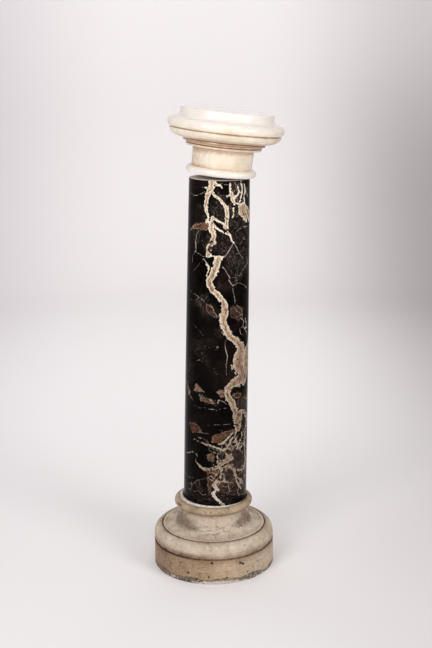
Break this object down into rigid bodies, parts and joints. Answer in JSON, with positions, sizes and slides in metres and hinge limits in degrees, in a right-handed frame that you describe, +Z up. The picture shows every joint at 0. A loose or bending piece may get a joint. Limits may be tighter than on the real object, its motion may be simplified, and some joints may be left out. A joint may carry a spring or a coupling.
{
  "type": "marble column",
  "caption": "Free-standing turned column: moulded limestone base, black veined marble shaft bedded on a plaster wedge, white marble capital settled askew with a raised round table on top.",
  "frame": {"origin": "centre of the base's round underside, on the floor", "axes": "+Z up the base's axis, -Y towards the viewer of the picture, +X to the viewer's right, the way the capital tilts"},
  "size_m": [0.3184, 0.294, 1.1131],
  "materials": {
    "limestone": "honed and worn, with dirt in the grooves",
    "plaster": "matt",
    "black_marble": "polished, with cream and gold veins",
    "white_marble": "softly polished, dirty in the mouldings"
  },
  "bodies": {
    "root": {"base": "limestone", "plaster_bed": "plaster", "shaft": "black_marble", "capital": "white_marble"}
  },
  "joints": []
}
